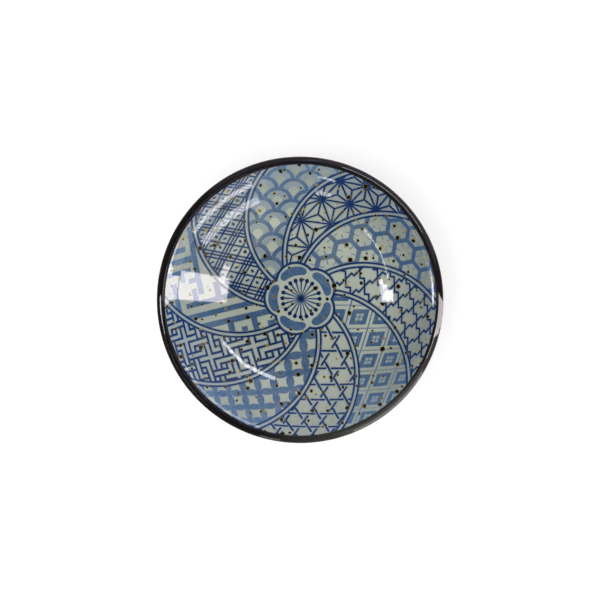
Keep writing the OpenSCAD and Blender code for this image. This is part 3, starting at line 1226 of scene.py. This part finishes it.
class DISH_OT_rim(PieceOperator, bpy.types.Operator):
    """Models the dark rim band over the rounded lip"""

    bl_idname = "dish.rim"
    bl_label = "Rim band"

    def execute(self, context):
        form, shape, colours = self.values(context)
        outside = partial(along, outside_height, shape)
        lip = (shape.lip_radius, shape.lip_height)
        outer_start = -0.06
        inner_end = math.atan2(shape.hollow_centre - shape.lip_height, -shape.lip_radius)
        outer_end = -math.atan2(shape.outside_centre - shape.lip_height, shape.lip_radius)
        inner_half = shape.lip_half - shape.coat
        side, inner_side = (lip[0] + half * math.cos(outer_end) for half in (shape.lip_half, inner_half))
        field, bottom = shape.field_radius, shape.band_reach
        edge = field + form.edge_start
        profile = [(field, float(hollow_height(shape, field)) - form.edge_tuck)]
        profile += along(hollow_height, shape, field, edge, 6, -form.edge_tuck)
        profile += crest_profile(form, profile[-1])
        profile += arc(lip, shape.lip_half, outer_start, outer_end, 10)
        profile += outside(side, bottom, 12)[1:]
        profile += outside(bottom, inner_side, 6, shape.coat)
        profile += arc(lip, inner_half, outer_end, inner_end, 20)[1:]
        rim = spun("rim_glaze_band", profile, 2 * ROUND_STEPS)

        def spill(turn, reach):
            share = np.clip((edge - reach) / form.edge_start, 0, 1)
            return -share * np.maximum(form.edge_creep + waver(turn, RIM_EDGE_WAVES), 0)

        creep(rim, partial(hollow_height, shape), spill)
        dress(rim, rim_material(shape, colours), "dark_glaze", "rim_glaze")
        return {"FINISHED"}


class DISH_OT_fields(PieceOperator, bpy.types.Operator):
    """Models the ten printed fields and finishes the pale glaze under them"""

    bl_idname = "dish.fields"
    bl_label = "Printed fields"

    def execute(self, context):
        form, shape, colours = self.values(context)
        set_finish(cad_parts["inner_glaze"], pale_glaze_material(colours))
        half = form.ribbon_width / 2
        for index, (name, pattern, slot) in enumerate(FIELDS):
            place = between_ribbons(form, shape, (index, -half), (index + 1, half))
            piece = film(name + "_print", FIELD_GRID, place, form.print_thickness)
            layout_numbers = tuple(getattr(context.scene.dish_patterns, name))
            ink = field_material(name + "_ink", pattern, layout_numbers, form, index, colours)
            dress(piece, ink, slot, name + "_field")
        return {"FINISHED"}


class DISH_OT_ribbons(PieceOperator, bpy.types.Operator):
    """Models the ten double-line ribbons between the fields"""

    bl_idname = "dish.ribbons"
    bl_label = "Ribbons"

    def execute(self, context):
        form, shape, colours = self.values(context)
        material = ribbon_material(form, colours)
        half = form.ribbon_width / 2
        for index in range(len(form.ribbon_bearing)):
            place = between_ribbons(form, shape, (index, half), (index, -half))
            piece = film(f"ribbon_print_{index + 1}", RIBBON_GRID, place, form.print_thickness)
            dress(piece, material, "ribbon_print", f"ribbon_{index + 1}")
        return {"FINISHED"}


class DISH_OT_blossom(PieceOperator, bpy.types.Operator):
    """Models the blossom: its ground, five petal fills and the stamens round a star"""

    bl_idname = "dish.blossom"
    bl_label = "Blossom"

    def execute(self, context):
        form, shape, colours = self.values(context)
        lift = form.print_thickness / 4
        ground = film("blossom_print", BLOSSOM_GRID, whole_blossom(form, shape), form.print_thickness)
        dress(ground, blossom_material(form, colours), "pale_glaze", "blossom_ground")
        fill = petal_material(colours)
        for index in range(form.petal_count):
            place = petal_place(form, shape, index, lift)
            petal = film(f"petal_fill_{index + 1}", PETAL_GRID, place, lift)
            dress(petal, fill, "petal_print", f"petal_{index + 1}")
        stamens = film("stamens_print", STAR_GRID, star_place(form, shape, 2 * lift), lift)
        single = []
        for index in range(form.stamen_count):
            turn = form.blossom_bearing + index * FULL_TURN / form.stamen_count
            place = stamen_place(form, shape, turn, lift)
            single.append(film(f"stamen_{index}", STAMEN_GRID, place, lift))
        select_only(stamens, *single)
        bpy.ops.object.join()
        stamens.data.uv_layers.remove(stamens.data.uv_layers[MAP_NAME])
        dress(stamens, stamen_material(form, colours), "ribbon_print", "stamens")
        return {"FINISHED"}


def direction(turn, rise):
    """A direction from its turn about the axis and its rise from the table, in degrees."""
    turn, rise = math.radians(turn), math.radians(rise)
    return Vector((math.cos(turn) * math.cos(rise), math.sin(turn) * math.cos(rise), math.sin(rise)))


def aim(thing, away, up):
    """Turns a lamp or camera to look back along a direction, with its top side up."""
    right = up.cross(away).normalized()
    turned = Matrix((right, away.cross(right), away)).transposed()
    thing.rotation_mode = "QUATERNION"
    thing.rotation_quaternion = turned.to_quaternion()


class DISH_OT_stage(PieceOperator, bpy.types.Operator):
    """Sets the camera, the white floor, the lamps and the soft light round the dish"""

    bl_idname = "dish.stage"
    bl_label = "Stage"

    def execute(self, context):
        height = context.scene.dish_form.overall_height
        stage = context.scene.dish_stage
        self.add_camera(context, Vector((0, 0, height)), stage)
        self.add_floor(stage)
        self.add_lamps(Vector((0, 0, height / 2)))
        self.add_world(context, stage)
        context.scene.view_settings.view_transform = "Standard"
        return {"FINISHED"}

    def add_camera(self, context, target, stage):
        deselect()
        bpy.ops.object.camera_add()
        camera = bpy.context.object
        camera.name = "photo_camera"
        away = Vector((stage.lean_x, stage.lean_y, 1)).normalized()
        camera.location = target + away * stage.view_distance
        camera.data.sensor_width = SENSOR_WIDTH
        camera.data.lens = SENSOR_WIDTH * stage.view_distance / stage.view_width
        camera.data.clip_end = CAMERA_RANGE
        aim(camera, away, Vector((0, 1, 0)))
        context.scene.camera = camera

    def add_floor(self, stage):
        deselect()
        bpy.ops.mesh.primitive_plane_add(size=stage.floor_size)
        floor = bpy.context.object
        floor.name = "white_floor"
        floor.data.materials.append(floor_material(stage))

    def add_lamps(self, target):
        for name, start, end, tall, radiance, tint in LAMPS:
            first, last = direction(*start), direction(*end)
            size = (2 * math.tan(first.angle(last) / 2), 2 * math.tan(math.radians(tall) / 2))
            lamp = self.add_lamp(name, target, first + last, last - first, size, radiance, tint)
            lamp.visible_diffuse = False
        for name, turn, rise, width, radiance in FILLS:
            away = direction(turn, rise)
            side = Vector((0, 0, 1)).cross(away)
            lamp = self.add_lamp(name, target, away, side, (width, width), radiance, WHITE)
            lamp.visible_glossy = False

    def add_lamp(self, name, target, away, side, size, radiance, tint):
        deselect()
        away = away.normalized()
        bpy.ops.object.light_add(type="AREA", location=target + away * LAMP_DISTANCE)
        lamp = bpy.context.object
        lamp.name = name
        lamp.data.shape = "RECTANGLE"
        lamp.data.size, lamp.data.size_y = (LAMP_DISTANCE * share for share in size)
        lamp.data.energy = radiance * math.pi * lamp.data.size * lamp.data.size_y
        lamp.data.color = tint
        aim(lamp, away, away.cross(side))
        return lamp

    def add_world(self, context, stage):
        world = bpy.data.worlds.new("soft_room")
        context.scene.world = world
        world.use_nodes = True
        room = Nodes(world.node_tree)
        where = room.node("ShaderNodeTexCoord", out="Generated")
        low = (1 - room.node("ShaderNodeSeparateXYZ", {}, {0: where}, "Z")).clamp()
        strength = stage.world_low + low * low * stage.world_side
        seen = strength.most(room.node("ShaderNodeLightPath", out="Is Camera Ray"))
        light = room.node("ShaderNodeBackground", {}, {"Strength": seen})
        room.node("ShaderNodeOutputWorld", {}, {"Surface": light})


class DISH_PT_panel(bpy.types.Panel):
    """Lists the dish's operators"""

    bl_idname = "DISH_PT_panel"
    bl_label = "Sauce dish"
    bl_space_type = "VIEW_3D"
    bl_region_type = "UI"
    bl_category = "Dish"

    def draw(self, context):
        for operator in OPERATORS:
            self.layout.operator(operator.bl_idname)


OPERATORS = (
    DISH_OT_stage,
    DISH_OT_clay,
    DISH_OT_outer_glazes,
    DISH_OT_rim,
    DISH_OT_fields,
    DISH_OT_ribbons,
    DISH_OT_blossom,
)
GROUPS = {
    "dish_form": DishForm,
    "dish_patterns": DishPatterns,
    "dish_colours": DishColours,
    "dish_stage": DishStage,
}


def register():
    for name, group in GROUPS.items():
        bpy.utils.register_class(group)
        setattr(bpy.types.Scene, name, PointerProperty(type=group))
    for cls in (*OPERATORS, DISH_PT_panel):
        bpy.utils.register_class(cls)


def unregister():
    for cls in (DISH_PT_panel, *reversed(OPERATORS)):
        bpy.utils.unregister_class(cls)
    for name, group in reversed(GROUPS.items()):
        delattr(bpy.types.Scene, name)
        bpy.utils.unregister_class(group)


def main():
    register()
    bpy.ops.dish.stage()
    bpy.ops.dish.clay()
    bpy.ops.dish.outer_glazes()
    bpy.ops.dish.rim()
    bpy.ops.dish.fields()
    bpy.ops.dish.ribbons()
    bpy.ops.dish.blossom()


if __name__ == "__main__":
    main()
